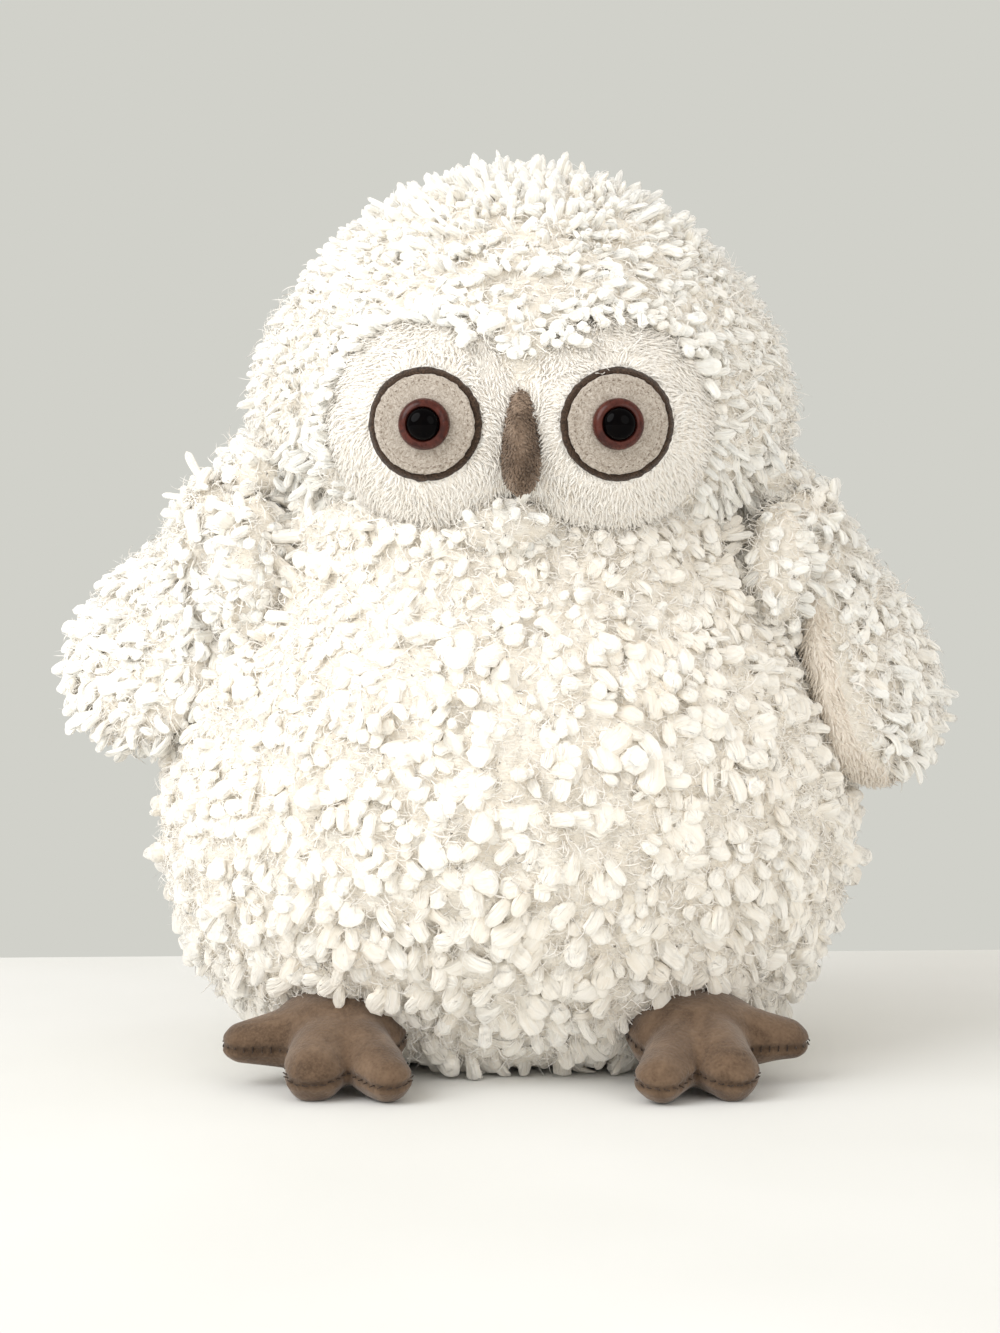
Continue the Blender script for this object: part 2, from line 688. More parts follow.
def lock_paths(normals, flow, length, lean, sway, curl, rise, draws):
    """The course of each lock in fine steps from its root, and the way to its side."""
    count = len(normals)
    sway = np.radians(sway)[:, None]
    lay = np.cos(sway) * flow + np.sin(sway) * np.cross(normals, flow)
    aside = np.cross(normals, lay)
    start = np.radians(draws.uniform(*rise, count))
    end = np.radians(lean)
    power = draws.uniform(*BEND_POWER, count)
    swirl = np.radians(draws.normal(0, curl, count))
    wiggle = np.radians(draws.normal(0, WIGGLE, count))
    fine = np.linspace(0, 1, FINE_STEPS + 1)
    middle = (fine[1:] + fine[:-1]) / 2
    bend = start[:, None] + (end - start)[:, None] * middle[None] ** power[:, None]
    side = swirl[:, None] * middle[None] + wiggle[:, None] * np.sin(middle * 2 * np.pi)[None]
    ways = (np.cos(bend)[..., None] * normals[:, None]
            + (np.sin(bend) * np.cos(side))[..., None] * lay[:, None]
            + (np.sin(bend) * np.sin(side))[..., None] * aside[:, None])
    course = np.concatenate([np.zeros((count, 1, 3)), np.cumsum(ways, 1)], 1)
    return course * (length / FINE_STEPS)[:, None, None], aside


def lock_maps(count, ring, rings, along, quads, tip, foot, draws):
    """Maps round and along each lock: one for its fibres, one with a cell for each to bake in."""
    around = (np.tile(ring, rings - 1)[:, None] + [0, 1, 1, 0],
              ring[:, None] + [0.5, 0, 1], ring[:, None] + [0.5, 1, 0])
    local = np.concatenate([np.stack([u / len(ring), along[f]], -1).reshape(-1, 2)
                            for u, f in zip(around, (quads, tip, foot))])
    across = int(np.ceil(np.sqrt(count)))
    number = np.arange(count)
    cell = np.stack([number % across, number // across], 1) / across

    def spread(scale, shift):
        placed = local[None] * scale + shift[:, None]
        return np.concatenate([part.reshape(-1, 2) for part in np.split(placed, [quads.size], 1)])

    return {"fibre": spread(1.0, draws.uniform(0, 40, (count, 2))),
            "OFBake": spread((1 - 2 * MAP_MARGIN) / across, cell + MAP_MARGIN / across)}


def locks(roots, normals, flow, length, thick, lean, sway, sides=8, kind="lobe", curl=35.0,
          ply=0.17, rise=(4, 26), draws=rng):
    """Points, faces, maps and values of curled locks, one per root. Angles are in degrees."""
    count = len(roots)
    steps, swell = (np.array(p) for p in PROFILES[kind])
    rings = len(steps) - 1
    path, aside = lock_paths(normals, flow, length, lean, sway, curl, rise, draws)
    index = np.round(steps * FINE_STEPS).astype(int)
    centres = roots[:, None] + path[:, index]
    tangents = unit(path[:, np.minimum(index + 1, FINE_STEPS)] - path[:, np.maximum(index - 1, 0)])
    across = aside[:, None]
    across = unit(across - tangents * np.sum(across * tangents, -1, keepdims=True))
    upward = np.cross(tangents, across)
    angles = np.linspace(0, 2 * np.pi, sides, endpoint=False)
    phase = draws.uniform(0, 2 * np.pi, count)
    twist = draws.normal(0, TWIST, count)
    turned_by = angles[None, None] + (twist[:, None] * steps[None])[..., None]
    plies = 1 + ply * np.cos(2 * turned_by + phase[:, None, None])
    lumps = 1 + draws.normal(0, LUMPS, (count, rings + 1, sides))
    flat = draws.uniform(*FLATNESS, count)
    radius = (thick / 2)[:, None, None] * swell[None, :, None] * plies * lumps
    rim = (np.cos(angles) * radius)[..., None] * across[:, :, None]
    rim = rim + (np.sin(angles) * radius * flat[:, None, None])[..., None] * upward[:, :, None]
    shell = (centres[:, :-1, None] + rim[:, :-1]).reshape(count, -1, 3)
    points = np.concatenate([shell, centres[:, -1:], centres[:, :1]], 1)
    per = rings * sides + 2
    ring = np.arange(sides)
    after = (ring + 1) % sides
    last = (rings - 1) * sides
    quads = grid_faces(rings, sides)
    tip = np.stack([np.full(sides, per - 2), last + ring, last + after], 1)
    foot = np.stack([np.full(sides, per - 1), after, ring], 1)
    base = (np.arange(count) * per)[:, None, None]
    faces = [(quads[None] + base).reshape(-1, 4),
             (np.concatenate([tip, foot])[None] + base).reshape(-1, 3)]
    along = np.concatenate([np.repeat(steps[:-1], sides), [1.0, 0.0]])
    tint = np.clip(draws.normal(*TINT, count), 0, 1)
    maps = lock_maps(count, ring, rings, along, quads, tip, foot, draws)
    values = {"along": np.tile(along, count), "tint": np.repeat(tint, per)}
    return points.reshape(-1, 3), faces, maps, values, np.repeat(normals, per, 0)


FLOOR_GAP = 0.15
FLOOR_EASE = 1.8
FLOOR_SOFTNESS = 1.6


def above_floor(points):
    """Lock tips that would pass the floor lie on it."""
    z = points[:, 2]
    soft = FLOOR_GAP + FLOOR_SOFTNESS * np.exp((z - FLOOR_EASE - FLOOR_GAP) / FLOOR_SOFTNESS)
    points[:, 2] = np.where(z < FLOOR_EASE + FLOOR_GAP, np.maximum(soft, FLOOR_GAP), z)
    return points


def over_discs(points, along, count, gap=0.3):
    """Locks whose free part would lie in a face disc move out as a whole until they lie on it."""
    for side in SIDES.values():
        depth = disc_depth(points, side, -gap).reshape(count, -1)
        least = np.where(along.reshape(count, -1) > 0.3, depth, 2).min(1)
        lift = np.repeat(1 / np.clip(least, 0.6, 1) - 1, depth.shape[1])
        centre = place_head(disc_frame(side)[1])
        points = centre + (points - centre) * (1 + lift * smooth(along, 0, 0.35))[:, None]
    return points


def pile(name, body, slot, material, strewn, soft=0.0, **shape):
    """A piece of locks from strewn roots. Shape holds what locks() takes."""
    points, faces, maps, values, beneath = locks(*strewn, **shape)
    if shape.get("kind") != "tuft":
        points = over_discs(points, values["along"], len(strewn[0]))
    piece = mesh_piece(name, above_floor(points), faces, material, maps, values)
    if soft:
        soften(piece.data, beneath, soft)
    return finish_piece(piece, body, slot)


def quartered(name, body, slot, material, strewn, **shape):
    """The pile of a large form, one piece for each quarter about the Z axis."""
    front, left = strewn[0][:, 1] < 0, strewn[0][:, 0] >= 0
    for quarter, mine in (("front_left", front & left), ("front_right", front & ~left),
                          ("back_left", ~front & left), ("back_right", ~front & ~left)):
        fields = [field[mine] for field in strewn]
        pile(f"{name}_{quarter}", body, slot, material, fields, **shape)


def drawn(count, middle, spread, low, high):
    return np.clip(rng.normal(middle, spread, count), low, high)


def measures(kind, count):
    """Length, thickness and lean for each of some locks of a kind."""
    _, length, thick, lean = PILES[kind]
    length = drawn(count, *length)
    if len(thick) == 3:
        share, large, small = thick
        large_here = rng.uniform(size=count) < share
        thick = np.where(large_here, drawn(count, *large), drawn(count, *small))
    else:
        thick = drawn(count, *thick)
    return length, thick, drawn(count, *lean)


def nap(name, kind, body, slot, material, roots, normals, flow, lay, sway, soft, curl):
    """Short tufts that stand all over a cushion or a lining."""
    count = len(roots)
    strewn = (roots - normals * 0.1, normals, flow, *measures(kind, count),
              lay + rng.normal(0, sway, count))
    pile(name, body, slot, material, strewn, soft=soft, sides=4, kind="tuft", curl=curl, ply=0,
         rise=(35, 60))


def form_piece(name, rows, material, wrinkle=0.0, size=20.0, seed=1):
    """A closed fabric form from rows of points, slightly uneven as stuffed cloth is."""
    points, faces = closed_form(rows)
    if wrinkle:
        outward = unit(points - points.mean(0))
        points = points + outward * (ridge_noise(points, size, seed) * wrinkle)[:, None]
    values = {"along": np.ones(len(points)), "crease": np.zeros(len(points))}
    return mesh_piece(name, points, faces, material, values=values)


def matted_form(name, form, steps, segments, size, height, seed):
    """The pile's matted ground: small soft mounds over a form."""
    rows = form(MATTED_INSET, steps, segments)
    mounds, _ = scattered(rows, size, draws=np.random.default_rng(seed))
    points, faces = closed_form(rows)
    _, away = nearest(mounds, points)
    rise = np.sqrt(np.maximum(1 - (away / (size * 0.95)) ** 2, 0)) * height
    rise = rise + ridge_noise(points, size * 1.7, seed) * height * 0.35
    points = points + unit(points - points.mean(0)) * rise[:, None]
    return mesh_piece(name, above_floor(points), faces, BACKING)


# Body: the backing that the locks are sewn to, then the locks and loose hairs

CHEST_LOW = 124
LOWEST_ROOT = 1.2
WING_SOCKET = 11


def in_head(points, inset):
    local = to_head(points)
    rise = np.where(local[:, 2] > 0, HEAD_RISE, HEAD_DROP) - inset
    radii = np.stack([np.full(len(points), HEAD_HALF_WIDTH - inset),
                      np.full(len(points), (HEAD_HALF_WIDTH - inset) * HEAD_DEPTH_SHARE), rise], 1)
    return np.linalg.norm(local / radii, axis=1) < 1


def foot_ground(points, low, reach):
    """Points that lie over a foot's palm, where the foot is sewn on."""
    inside = np.zeros(len(points), bool)
    for name, side in SIDES.items():
        away = (points - np.array([side * FOOT_X[name], FOOT_Y - 2, 0])) / [reach, reach, 1]
        inside |= (np.hypot(away[:, 0], away[:, 1]) < 1) & (points[:, 2] < low)
    return inside


def body_keeps(points, normals):
    tips = points + normals * BACKING_INSET
    keep = (tips[:, 2] > LOWEST_ROOT) & ~in_head(tips, inset=5)
    for side in SIDES.values():
        away = tips - np.array([side * WING_X, WING_Y, WING_HEIGHT])
        keep &= np.linalg.norm(away, axis=1) > WING_SOCKET
    return keep & ~foot_ground(tips, low=21, reach=17)


body_cloth = matted_form("body_backing", body_rows, 170, 380, size=5.2, height=2.0, seed=3)
finish_piece(body_cloth, "body", "curly_pile", "body_front", "body_back", "body_fill", "bean_bag",
             fill=0.85)


def over_chest(points):
    """How far points lie above the wavy line where the chest's finer locks begin."""
    return points[:, 2] - CHEST_LOW - 10 * ridge_noise(points, 60, 77)


# The locks get finer towards the chest: part, size and whether it lies above the line
for part, size, above in (("body", 1.03, False), ("chest", 0.76, True)):
    def part_keeps(points, normals):
        return body_keeps(points, normals) & ((over_chest(points) > 0) == above)

    roots, normals, bunch = bunched(body_rows(BACKING_INSET), PILES[part][0], part_keeps)
    beside, count = np.abs(roots[:, 0]), len(roots)
    shoulder = smooth(roots[:, 2], 130, 150) * smooth(beside, 50, 64)
    armpit = smooth(roots[:, 2], 118, 136) * smooth(beside, 64, 74) * smooth(-roots[:, 1], -8, 8)
    shoulder = np.maximum(shoulder, armpit)
    outward = np.sign(roots * [1, 0, 0]) + [0, 0, -0.4]
    flow = flowing(normals, lerp(down, outward, shoulder[:, None]))
    sway = ridge_noise(roots, 45, 5) * 45 + rng.normal(0, 34, count)[bunch]
    sway = sway + rng.normal(0, 30, count)
    length, thick, lean = measures(part, count)
    length = length * (1 + 0.35 * shoulder) * lerp(1, size, 0.6)
    strewn = (roots, normals, flow, length, thick * size, lean * (1 - 0.4 * shoulder), sway)
    quartered(f"{part}_pile", "body", "curly_pile", LOCK, strewn, soft=SOFT)


# Layers of thin curls: name, spacing, inset of their roots, length, thickness and lean
UNDERCOAT = (("matted", 2.0, 2.3, 6.0, 0.5, 150), ("hairs", 1.8, 0.9, 6.5, 0.3, 130))


def undercoat(name, body, form, keep, made):
    """Thin curls that lie matted between the locks, and fine hairs that stand past them."""
    for layer, spacing, inset, reach, width, bend in UNDERCOAT:
        spots, outs = scattered(form(inset), spacing, keep)
        strands = len(spots)
        strewn = (spots, outs, flowing(outs, down),
                  drawn(strands, reach, reach * 0.25, reach * 0.5, reach * 1.6),
                  drawn(strands, width, width * 0.3, width * 0.5, width * 1.8),
                  drawn(strands, bend, 40, 30, 280), rng.normal(0, 80, strands))
        made(f"{name}_{layer}", body, "curly_pile", STRAND, strewn, soft=0.75, sides=3,
             kind="strand", curl=110)


undercoat("body", "body", body_rows, body_keeps, quartered)


# Mounds of pile under the beak, between head, body and wing, and over each armpit: middle, radii
MOUNDS = (("chin", (0, -63, 168), (14, 9, 8)),
          ("shoulder_left", (79, -4, 183), (12, 28, 11)),
          ("shoulder_right", (-76, -4, 184), (13, 30, 12)),
          ("armpit_left", (84, -33, 156), (9, 10, 18)),
          ("armpit_right", (-79, -35, 152), (11, 11, 24)))
MOUND_NEAREST = 60
for name, middle, radii in MOUNDS:
    side = np.sign(middle[0])

    def mound_form(inset, steps=44, segments=80):
        rows = turned(evenly(ellipse((0, 0), (1, 1), -90, 90, 80), steps), segments)
        return rows * (np.array(radii) - inset + MATTED_INSET) + np.array(middle)

    def mound_keeps(points, normals):
        tips = points + normals * BACKING_INSET
        return ~in_head(tips, inset=9) & (side * tips[:, 0] >= MOUND_NEAREST * abs(side))

    mound = matted_form(f"{name}_backing", mound_form, 44, 80, size=3.8, height=1.2, seed=5)
    finish_piece(mound, "body", "curly_pile")
    roots, normals = scattered(mound_form(BACKING_INSET), PILES["mound"][0], mound_keeps)
    count = len(roots)
    strewn = (roots, normals, flowing(normals, np.array([side, 0, -0.8])),
              *measures("mound", count), rng.normal(0, 50, count))
    pile(f"{name}_pile", "body", "curly_pile", FINE_LOCK, strewn, soft=SOFT)
    undercoat(name, "body", mound_form, mound_keeps, pile)

# Base panel

panel = np.array([(0, 0.05), (44, 0.05), (46.6, 0.3), (47.7, 1.2), (48, 2), (47.7, 3), (46.4, 3.8),
                  (42, 4), (0, 4)])
panel_rows = turned(panel, 120)
panel_rows[..., 1] *= BASE_DEPTH_SHARE
base_panel = form_piece("base_panel", panel_rows, LINING)
finish_piece(base_panel, "body", "short_pile_lining", "body_base", fill=0.3)

# Head

CROWN = 0.55
FOREHEAD_LOW = 13
DISC_MARGIN = 0.985


def head_keeps(points, normals, margin=DISC_MARGIN):
    tips = points + normals * BACKING_INSET
    keep = np.ones(len(points), bool)
    for side in SIDES.values():
        keep &= disc_depth(tips, side) > margin
    body_radius = np.hypot(tips[:, 0], tips[:, 1] / BELLY_DEPTH_SHARE)
    under = (tips[:, 2] < NECK_HEIGHT + BODY_DOME) & (body_radius < NECK_HALF_WIDTH - 6)
    local = to_head(tips)
    between = (np.abs(local[:, 0]) < 20) & (local[:, 1] < 0) & (local[:, 2] < FOREHEAD_LOW)
    return keep & ~under & ~between


def away_from_face(points):
    """Locks hang down, but those round the face lie away from its middle."""
    local = to_head(points)
    outward = unit(local * [1, 0, 1] - np.array([0, 0, -4.0]))
    near = smooth(-local[:, 1], 10, 45) * smooth(-np.hypot(local[:, 0], local[:, 2]), -74, -50)
    above = smooth(local[:, 2], -15, 15)
    way = lerp(np.array([0.0, -0.12, -1.0]), outward, (near * lerp(1.0, 0.35, above))[:, None])
    return way @ turn("Z", HEAD_TURN).T


head_cloth = matted_form("head_backing", head_rows, 170, 340, size=3.8, height=1.6, seed=4)
finish_piece(head_cloth, "body", "curly_pile", "head_front", "head_back", "head_fill", fill=0.85)

roots, normals, bunch = bunched(head_rows(BACKING_INSET), PILES["head"][0], head_keeps)
flow = flowing(normals, away_from_face(roots))
count = len(roots)
crown = smooth(normals[:, 2], CROWN, 0.97)
sway = ridge_noise(roots, 42, 6) * 34 + rng.normal(0, 26, count)[bunch]
sway = sway + rng.normal(0, 22, count) * (1 + 1.6 * crown)
local = to_head(roots)
cheek = smooth(np.abs(local[:, 0]), 45, 62) * smooth(-local[:, 2], 4, 20)
length, thick, lean = measures("head", count)
length = length * (1 + 0.18 * crown) * (1 + 0.35 * cheek)
tips = roots + normals * BACKING_INSET
beside = 1 - smooth(np.minimum(disc_depth(tips, 1), disc_depth(tips, -1)), 1.02, 1.3)
lean = lean * (1 - 0.6 * crown) * (1 - 0.3 * cheek) * (1 - 0.45 * beside)
quartered("head_pile", "body", "curly_pile", FINE_LOCK,
          (roots, normals, flow, length, thick, lean, sway), soft=SOFT)

undercoat("head", "body", head_rows, lambda points, normals: head_keeps(points, normals, 1.15),
          quartered)

# Face: two cushions of short pile that press together in a crease


def cushion_rows(side, steps=96, segments=128):
    """A face disc, turned about the way across it, kept on its own side of the crease."""
    angles = np.linspace(0, np.pi, steps + 1)
    around = np.linspace(0, 2 * np.pi, segments, endpoint=False)
    rows = np.stack([np.sin(angles)[:, None] * np.cos(around) * DISC_RADII[0],
                     np.repeat(np.cos(angles)[:, None], segments, 1) * DISC_RADII[1],
                     np.sin(angles)[:, None] * np.sin(around) * DISC_RADII[2]], -1)
    matrix, middle = disc_frame(side)
    rows = rows @ matrix.T + middle
    rows[..., 0] = side * np.maximum(side * rows[..., 0], CLEARANCE / 2)
    return place_head(rows)


# How far the shank pulls each eye's plastic towards the beak, and how far it turns it to the front
EYE_PULL = 0.8
EYE_FACING = 8


def eye_frame(side):
    """Where an eye sits on its disc and the three ways of its frame, the last straight out."""
    share_x, share_z = EYE_OFFSET / DISC_RADII[0], -EYE_DROP / DISC_RADII[2]
    outward = math.sqrt(1 - share_x ** 2 - share_z ** 2)
    on_disc = np.array([side * EYE_OFFSET, -outward * DISC_RADII[1], -EYE_DROP])
    normal = unit(np.array([side * share_x / DISC_RADII[0], -outward / DISC_RADII[1],
                            share_z / DISC_RADII[2]]))
    matrix, middle = disc_frame(side)
    head_turn = turn("Z", HEAD_TURN)
    out = turn("Z", -side * EYE_FACING) @ head_turn @ matrix @ normal
    right = unit(np.cross([0, 0, 1], out))
    up = np.cross(out, right)
    return place_head(matrix @ on_disc + middle), np.stack([right, up, out], 1)


def eye_places(side, flat, height):
    """Row-frame points from places in an eye's own plane and heights above it."""
    at, ways = eye_frame(side)
    pulled = flat - np.array([side * EYE_PULL, 0]) * smooth(height[..., None], -1, 1.5)
    return at + pulled @ ways[:, :2].T + height[..., None] * ways[:, 2]


def disc_height(side, flat, above):
    """How high the disc's surface, grown by an amount, stands over an eye's own plane."""
    at, ways = eye_frame(side)
    matrix, middle = disc_frame(side)
    start = (to_head(at + flat @ ways[:, :2].T) - middle) @ matrix
    way = ways[:, 2] @ turn("Z", HEAD_TURN) @ matrix
    radii = np.array(DISC_RADII) + above
    a = np.sum((way / radii) ** 2)
    b = 2 * np.sum(start * way / radii ** 2, -1)
    c = np.sum((start / radii) ** 2, -1) - 1
    return (-b + np.sqrt(np.maximum(b * b - 4 * a * c, 0))) / (2 * a)


for name, side in SIDES.items():
    rows = cushion_rows(side)
    face = form_piece(f"face_{name}_cushion", rows, FACE, 0.22, 14, 8 + side)
    finish_piece(face, "body", "short_pile_face", f"face_{name}", fill=0.8)
    at, ways = eye_frame(side)

    def past_rim(points):
        return np.linalg.norm((points - at) @ ways[:, :2], axis=1) - RIM_RADIUS

    def face_keeps(points, _):
        shown_side = (points[:, 1] < -48) & (side * to_head(points)[:, 0] > 0.6)
        return shown_side & (past_rim(points) > 0.3)

    roots, normals = scattered(rows, PILES["face"][0], face_keeps)
    spread = lerp(1.8, 0.45, smooth(past_rim(roots), 0, 7))
    flow = flowing(normals, unit(roots - at) * spread[:, None] + np.array([0.25 * side, 0, -0.8]))
    nap(f"face_{name}_pile", "face", "body", "short_pile_face", FACE, roots, normals, flow,
        lay=ridge_noise(roots, 22, 31) * 28, sway=14, soft=0.7, curl=20)

# Eyes


def felt_round(name, side, radius, above, ridge, material, seed):
    """A felt disc that follows the cushion, with a cut edge and a border raised by its ridge."""
    segments, seeded = 200, np.random.default_rng(seed)
    angles = np.linspace(0, 2 * np.pi, segments, endpoint=False)
    circle = np.stack([np.cos(angles), np.sin(angles), angles * 0], 1)
    ragged = ridge_noise(circle * radius, 3.2, seed) * 0.13 + seeded.normal(0, 0.05, segments)
    shares = np.linspace(0, 1, 26)
    outline = [(s, 0.0) for s in shares] + [(1.006, 0.25), (1.009, 0.6), (1.004, 0.9)]
    outline += [(s, 1.0) for s in shares[::-1]]
    ridge_inset, ridge_width, ridge_height = ridge
    rows = []
    for share, lift in outline:
        reach = radius * share + ragged * smooth(share, 0.9, 1.0)
        flat = circle[:, :2] * reach[:, None]
        height = disc_height(side, flat, above) + lift * FELT
        if lift == 1.0:
            border = np.exp(-(((radius - reach) - ridge_inset) / ridge_width) ** 2) * ridge_height
            height = height + border + seeded.normal(0, 0.035, segments)
        rows.append(eye_places(side, flat, height))
    return form_piece(name, np.array(rows), material)


def eye_form(name, side, profile, material, segments=72):
    rows = turned(np.array(profile), segments)
    return form_piece(name, eye_places(side, rows[..., :2], rows[..., 2]), material)


SEAT = 2 * (FELT + CLEARANCE) + CLEARANCE
SHANK_RADIUS = 2
SHANK_RIB = 0.3
RIB_PITCH = 3
SHANK_LENGTH = 12.5

for name, side in SIDES.items():
    rim = felt_round(f"eye_{name}_rim", side, RIM_RADIUS, CLEARANCE, (1.25, 0.75, 0.55), BROWN_FELT,
                     20 + side)
    finish_piece(rim, "body", "brown_felt", f"eye_rim_{name}")
    disc = felt_round(f"eye_{name}_felt", side, FELT_DISC_RADIUS, FELT + 2 * CLEARANCE,
                      (0.8, 0.9, 0.12), GREY_FELT, 30 + side)
    finish_piece(disc, "body", "grey_felt", f"eye_disc_{name}")
    recess, floor = PUPIL_RADIUS + CLEARANCE, SEAT + IRIS_HEIGHT - PUPIL_RECESS
    cheek = ellipse((recess, SEAT + IRIS_EDGE), (IRIS_RADIUS - recess, IRIS_HEIGHT - IRIS_EDGE),
                    0, 90, 14)
    ribs = [(SHANK_RADIUS + SHANK_RIB * (i % 2), -SHANK_LENGTH + i * RIB_PITCH / 2)
            for i in range(7)]
    iris_profile = [(0, -SHANK_LENGTH), *ribs, (SHANK_RADIUS, SEAT - 0.7),
                    (IRIS_RADIUS - 0.25, SEAT - 0.6), (IRIS_RADIUS, SEAT - 0.3), *cheek,
                    (recess, floor + 0.2), (recess - 0.2, floor), (0, floor)]
    iris = eye_form(f"eye_{name}_iris", side, iris_profile, IRIS)
    finish_piece(iris, "body", "eye_iris_plastic", f"eye_iris_{name}")
    dome = ellipse((0, floor + CLEARANCE), (PUPIL_RADIUS, PUPIL_HEIGHT), 0, 90, 18)
    pupil = eye_form(f"eye_{name}_pupil", side, [(0, floor + CLEARANCE), *dome], PUPIL)
    finish_piece(pupil, "body", "eye_pupil_plastic", f"eye_pupil_{name}")
    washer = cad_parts[f"eye_washer_{name}"]
    washer.data.materials.clear()
    washer.data.materials.append(WASHER)

# Beak

widest = BEAK_LENGTH * BEAK_WIDEST_SHARE
profile = evenly(np.concatenate([
    ellipse((0, -widest), (BEAK_HALF_WIDTH, BEAK_LENGTH * (1 - BEAK_WIDEST_SHARE)), -90, 0, 30),
    ellipse((0, -widest), (BEAK_HALF_WIDTH, widest), 0, 90, 40)[1:],
]), 60)
profile[:, 0] = BEAK_HALF_WIDTH * (profile[:, 0] / BEAK_HALF_WIDTH) ** 0.8
rows = turned(profile, 72)
radius = np.hypot(rows[..., 0], rows[..., 1])
slope = np.abs(rows[..., 0]) / np.maximum(radius, 1e-6)
reach = (-BEAK_REACH / BEAK_HALF_WIDTH * radius
         * np.maximum(1 - slope ** 2, 0) ** BEAK_RIDGE_POWER)
bend = BEAK_BEND * smooth(1 - slope, 0.0, 1.0) * (radius / BEAK_HALF_WIDTH)
rows[..., 0] -= bend * (rows[..., 1] < 0)
rows[..., 1] = np.where(rows[..., 1] < 0, reach, rows[..., 1] * BEAK_BACK_SHARE)
rows = place_head(rows @ turn("X", -BEAK_TILT).T + np.array(BEAK_TOP))
beak = form_piece("beak_stuffed", rows, BEAK, 0.15, 7, 12)
finish_piece(beak, "body", "beak_suede", "beak_cover", "beak_fill", fill=0.9)
roots, normals = scattered(rows, PILES["beak"][0], lambda points, normals: normals[:, 1] < 0.35)
nap("beak_nap", "beak", "body", "beak_suede", BEAK, roots, normals, flowing(normals, down),
    lay=0, sway=30, soft=0.5, curl=15)

# Wings: curly outside, short-pile lining inside


def wing_places(name, points):
    """How far points lie towards a wing's curly side, its back edge and up, its droop undone."""
    matrix, hinge = wing_matrix(name)
    local = (points - hinge) @ matrix
    angle = wing_angle(name, local[..., 2])
    straight = local[..., 0] - wing_bow(name, local[..., 2])
    across = straight * np.cos(angle) + local[..., 1] * np.sin(angle)
    chord = local[..., 1] * np.cos(angle) - straight * np.sin(angle)
    return SIDES[name] * across, chord, local[..., 2]


# How far the curls wrap over a wing's front edge at its root and its tip, and where they change
WING_WRAP = {"left": (22, -5, 2, 34), "right": (24, 22, 20, 62)}
WING_MOUND_SPACING = 4.4
WING_MOUND_RADIUS = 4.2


def curly_share(name, points):
    across, chord, up = wing_places(name, points)
    above, below, high, low = WING_WRAP[name]
    over = lerp(above, below, smooth(-up, high, low))
    wrap = smooth(-chord, 4, 18) * over + smooth(up, -20, -4) * 30
    return smooth(across + wrap, -1.2, 1.6)


for name, side in SIDES.items():
    def wing_form(inset, steps=60, segments=96):
        return wing_rows(name, inset, steps, segments)

    full, sunk = wing_form(0, 110, 150), wing_form(MATTED_INSET, 110, 150)
    share = curly_share(name, full)
    mounds, _ = scattered(wing_form(MATTED_INSET), WING_MOUND_SPACING)
    _, away = nearest(mounds, sunk.reshape(-1, 3))
    away = away.reshape(share.shape) / WING_MOUND_RADIUS
    rise = np.sqrt(np.maximum(1 - away ** 2, 0)) * 0.35
    rows = lerp(full, lerp(sunk, full, rise[..., None]), share[..., None])
    points, faces = closed_form(rows)
    curly = np.concatenate([share[1:-1].ravel(), [1.0, 1.0]])
    wing = mesh_piece(f"wing_{name}_cloth", points, faces, LINING,
                      values={"along": 1 - 0.5 * curly})
    wing.data.materials.append(BACKING)
    middles = np.concatenate([curly[f].mean(1) for f in faces])
    wing.data.polygons.foreach_set("material_index", (middles > 0.5).astype(np.int32))
    finish_piece(wing, f"wing_{name}", "short_pile_lining", f"wing_outer_{name}",
                 f"wing_lining_{name}", f"wing_fill_{name}", fill=0.45)

    def wing_keeps(points, normals):
        tips = points + normals * WING_INSET
        body_radius = np.hypot(tips[:, 0], tips[:, 1] / BELLY_DEPTH_SHARE)
        buried = (body_radius < NECK_HALF_WIDTH - 3) & (tips[:, 2] < NECK_HEIGHT + 10)
        return (curly_share(name, points) > 0.5) & ~buried

    roots, normals, bunch = bunched(wing_form(WING_INSET), PILES["wing"][0], wing_keeps)
    count = len(roots)
    matrix, _ = wing_matrix(name)
    _, chord, up = wing_places(name, roots)
    angle = wing_angle(name, up)
    outward = np.stack([np.cos(angle), np.sin(angle), angle * 0], 1) @ matrix.T * side
    open_side = smooth(np.sum(normals * outward, 1), -0.3, 0.4)
    normals = unit(lerp(normals, outward, 0.3 * open_side[:, None]))
    armpit = smooth(up, -26, -8) * smooth(-chord, 2, 14)
    flow = flowing(normals, lerp(matrix @ down, np.array([-side, 0, -0.4]), armpit[:, None]))
    sway = ridge_noise(roots, 40, 9) * 34 + rng.normal(0, 30, count)[bunch]
    sway = sway + rng.normal(0, 1, count) * lerp(26, 90, smooth(up, -18, 0))
    tip = smooth(-up, WING_LENGTH[name] - 26, WING_LENGTH[name] - 8)
    length, thick, lean = measures("wing", count)
    strewn = (roots, normals, flow, length * (1 + 0.3 * armpit + 0.22 * tip), thick, lean, sway)
    pile(f"wing_{name}_pile", f"wing_{name}", "curly_pile", FINE_LOCK, strewn, soft=SOFT)
    undercoat(f"wing_{name}", f"wing_{name}", wing_form, wing_keeps, pile)

    def lining_keeps(points, _):
        return (curly_share(name, points) < 0.4) & (points[:, 2] < WING_HEIGHT - 4)

    roots, normals = scattered(wing_form(0), PILES["lining"][0], lining_keeps)
    nap(f"wing_{name}_lining_nap", "lining", f"wing_{name}", "short_pile_lining", LINING, roots,
        normals, flowing(normals, matrix @ down), lay=ridge_noise(roots, 22, 33) * 24, sway=14,
        soft=0.7, curl=20)

# Feet

